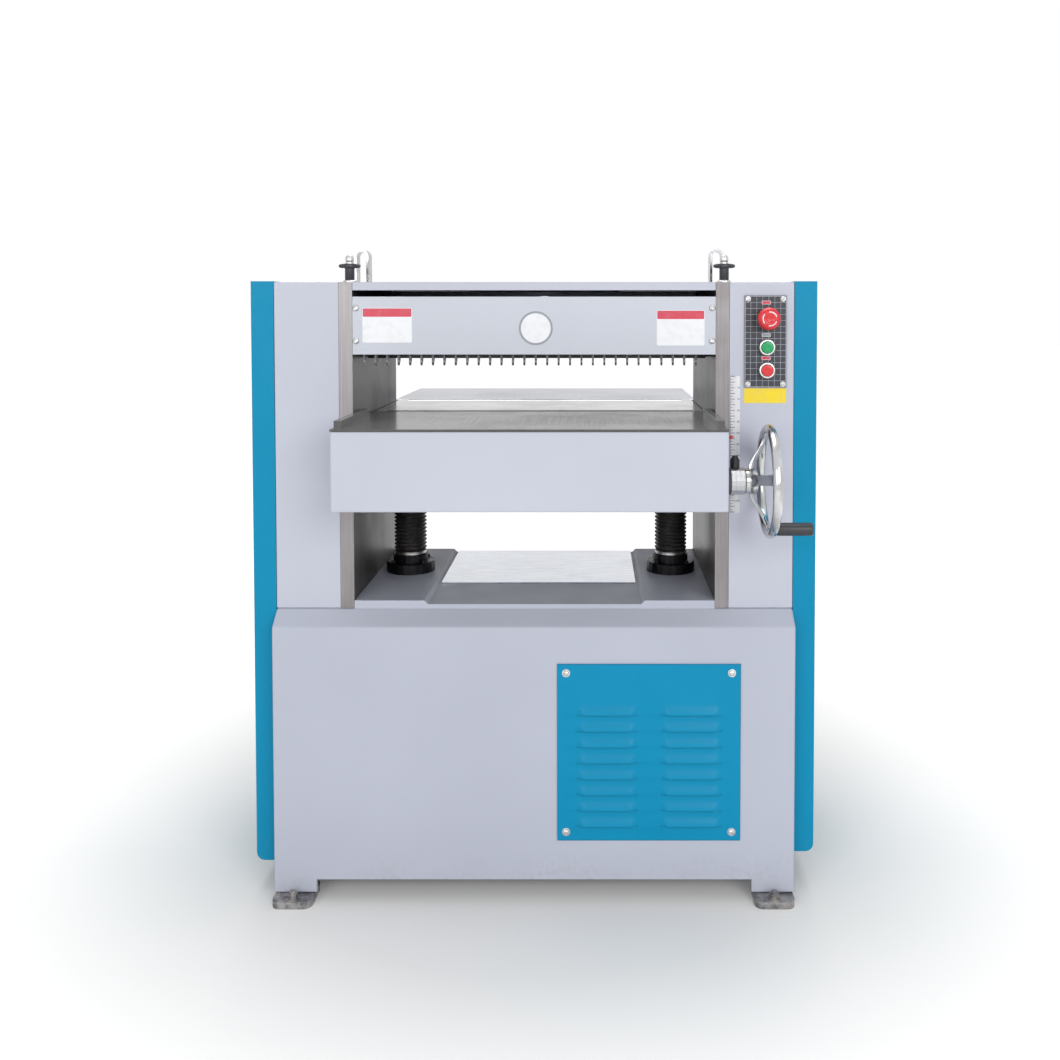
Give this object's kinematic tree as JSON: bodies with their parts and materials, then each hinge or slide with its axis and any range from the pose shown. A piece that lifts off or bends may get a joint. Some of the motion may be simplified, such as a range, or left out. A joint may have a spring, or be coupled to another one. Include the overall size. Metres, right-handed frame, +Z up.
{
  "type": "thickness planer",
  "caption": "Floor-standing single-sided thickness planer with a rising table, handwheel lift, louvred cabinet base and side drive covers.",
  "frame": {"origin": "on the floor, at the middle of the machine's footprint box", "axes": "+Z up, -Y towards the infeed side where the operator stands, +X towards the handwheel"},
  "size_m": [0.996, 0.9895, 1.157],
  "materials": {
    "grey_paint": "satin",
    "teal_paint": "satin",
    "machined_iron": "machined",
    "bright_steel": "brushed",
    "dark_steel": "dull",
    "chrome": "polished",
    "galvanised_steel": "dull",
    "black_rubber": "matt",
    "black_plastic": "satin",
    "motor_paint": "satin",
    "scale_strip": "satin",
    "red_plastic": "gloss",
    "green_plastic": "gloss"
  },
  "bodies": {
    "frame": {"base_cabinet": "grey_paint", "front_left_foot": "galvanised_steel", "front_right_foot": "galvanised_steel", "rear_left_foot": "galvanised_steel", "rear_right_foot": "galvanised_steel", "louvre_panel": "teal_paint", "floor_plate": "bright_steel", "left_column": "grey_paint", "right_column": "grey_paint", "left_column_guide": "machined_iron", "right_column_guide": "machined_iron", "left_belt_cover": "teal_paint", "right_chain_cover": "teal_paint", "front_guard_plate": "grey_paint", "rear_chip_hood": "grey_paint", "left_lifting_bail": "chrome", "right_lifting_bail": "chrome", "control_panel": "black_plastic", "depth_scale": "scale_strip", "left_screw_flange": "dark_steel", "right_screw_flange": "dark_steel", "left_bellows": "black_rubber", "right_bellows": "black_rubber", "left_cutter_bearing": "dark_steel", "right_cutter_bearing": "dark_steel", "left_roller_carrier": "dark_steel", "right_roller_carrier": "dark_steel", "pressure_bar": "dark_steel", "main_motor": "motor_paint", "drive_belt": "black_rubber", "feed_gearmotor": "motor_paint", "feed_chain": "dark_steel"},
    "table": {"table_bed": "machined_iron", "table_apron": "grey_paint", "rear_extension": "machined_iron", "worm_box": "dark_steel", "lift_chain": "dark_steel", "depth_pointer": "red_plastic"},
    "handwheel": {"handwheel": "chrome"},
    "grip": {"handwheel_grip": "black_plastic"},
    "lock_screw": {"lock_screw": "chrome"},
    "left_screw": {"left_lead_screw": "bright_steel"},
    "right_screw": {"right_lead_screw": "bright_steel"},
    "worm_wheel": {"worm_sprocket": "dark_steel"},
    "front_bed_roller": {"front_bed_roller": "bright_steel"},
    "rear_bed_roller": {"rear_bed_roller": "bright_steel"},
    "cutter": {"cutter_block": "machined_iron"},
    "motor_rotor": {"motor_pulley": "dark_steel"},
    "infeed": {"infeed_roller": "dark_steel"},
    "outfeed": {"outfeed_roller": "bright_steel"},
    "feed_drive": {"feed_sprocket": "dark_steel"},
    "fingers": {"kickback_fingers": "dark_steel"},
    "breaker": {"chip_breaker": "dark_steel"},
    "hood": {"top_hood": "grey_paint"},
    "left_knob": {"left_pressure_knob": "black_plastic"},
    "right_knob": {"right_pressure_knob": "black_plastic"},
    "estop": {"estop_button": "red_plastic"},
    "start": {"start_button": "green_plastic"},
    "stop": {"stop_button": "red_plastic"}
  },
  "joints": [
    {"name": "table_lift", "type": "slide", "parent": "frame", "child": "table", "axis": [0, 0, 1], "range_m": [-0.094, 0.094], "deforming": ["left_bellows", "right_bellows"]},
    {"name": "handwheel_turn", "type": "hinge", "parent": "table", "child": "handwheel", "pos_m": [0.397, -0.4, 0.753], "axis": [-1, 0, 0], "range_deg": [-3384, 3384]},
    {"name": "grip_spin", "type": "hinge", "parent": "handwheel", "child": "grip", "pos_m": [0.407, -0.4, 0.672], "axis": [1, 0, 0], "continuous": true},
    {"name": "lock_screw_turn", "type": "hinge", "parent": "table", "child": "lock_screw", "pos_m": [0.34, -0.4, 0.7758], "axis": [0, 0, 1], "range_deg": [0, 180]},
    {"name": "left_screw_turn", "type": "hinge", "parent": "table", "child": "left_screw", "pos_m": [-0.258, -0.07, 0.7837], "axis": [0, 0, 1], "range_deg": [-3384, 3384]},
    {"name": "right_screw_turn", "type": "hinge", "parent": "table", "child": "right_screw", "pos_m": [0.258, -0.07, 0.7837], "axis": [0, 0, 1], "range_deg": [-3384, 3384]},
    {"name": "worm_wheel_turn", "type": "hinge", "parent": "table", "child": "worm_wheel", "pos_m": [0.258, -0.4, 0.7837], "axis": [0, 0, 1], "range_deg": [-3384, 3384]},
    {"name": "front_bed_roller_spin", "type": "hinge", "parent": "table", "child": "front_bed_roller", "pos_m": [0, -0.115, 0.8319], "axis": [1, 0, 0], "continuous": true},
    {"name": "rear_bed_roller_spin", "type": "hinge", "parent": "table", "child": "rear_bed_roller", "pos_m": [0, 0.138, 0.8319], "axis": [1, 0, 0], "continuous": true},
    {"name": "cutter_spin", "type": "hinge", "parent": "frame", "child": "cutter", "pos_m": [0, -0.08, 1.002], "axis": [1, 0, 0], "continuous": true},
    {"name": "motor_spin", "type": "hinge", "parent": "frame", "child": "motor_rotor", "pos_m": [-0.47925, -0.089, 0.2], "axis": [1, 0, 0], "continuous": true},
    {"name": "infeed_roller_spin", "type": "hinge", "parent": "frame", "child": "infeed", "pos_m": [0, -0.195, 0.985], "axis": [1, 0, 0], "continuous": true},
    {"name": "outfeed_roller_spin", "type": "hinge", "parent": "frame", "child": "outfeed", "pos_m": [0, 0.03, 0.985], "axis": [1, 0, 0], "continuous": true},
    {"name": "feed_drive_spin", "type": "hinge", "parent": "frame", "child": "feed_drive", "pos_m": [0.466, -0.089, 0.74], "axis": [1, 0, 0], "continuous": true},
    {"name": "kickback_swing", "type": "hinge", "parent": "frame", "child": "fingers", "pos_m": [0, -0.273, 0.985], "axis": [1, 0, 0], "range_deg": [0, 35]},
    {"name": "chip_breaker_lift", "type": "slide", "parent": "frame", "child": "breaker", "axis": [0, 0, 1], "range_m": [0, 0.005]},
    {"name": "hood_open", "type": "hinge", "parent": "frame", "child": "hood", "pos_m": [0, 0.114, 1.0812], "axis": [-1, 0, 0], "range_deg": [0, 95]},
    {"name": "left_knob_turn", "type": "hinge", "parent": "frame", "child": "left_knob", "pos_m": [-0.3465, -0.195, 1.141], "axis": [0, 0, 1], "range_deg": [-180, 180]},
    {"name": "right_knob_turn", "type": "hinge", "parent": "frame", "child": "right_knob", "pos_m": [0.3465, -0.195, 1.141], "axis": [0, 0, 1], "range_deg": [-180, 180]},
    {"name": "estop_push", "type": "slide", "parent": "frame", "child": "estop", "axis": [0, 1, 0], "range_m": [0, 0.004]},
    {"name": "start_push", "type": "slide", "parent": "frame", "child": "start", "axis": [0, 1, 0], "range_m": [0, 0.003], "stiffness_N_per_m": 500},
    {"name": "stop_push", "type": "slide", "parent": "frame", "child": "stop", "axis": [0, 1, 0], "range_m": [0, 0.003], "stiffness_N_per_m": 500}
  ],
  "couplings": [
    {"joint": "handwheel_turn", "follows": "table_lift", "rad_per_m": 628.32},
    {"joint": "left_screw_turn", "follows": "table_lift", "rad_per_m": 628.32},
    {"joint": "right_screw_turn", "follows": "table_lift", "rad_per_m": 628.32},
    {"joint": "worm_wheel_turn", "follows": "table_lift", "rad_per_m": 628.32},
    {"joint": "motor_spin", "follows": "cutter_spin", "ratio": 0.60494},
    {"joint": "outfeed_roller_spin", "follows": "infeed_roller_spin", "ratio": 1},
    {"joint": "feed_drive_spin", "follows": "infeed_roller_spin", "ratio": 1}
  ]
}
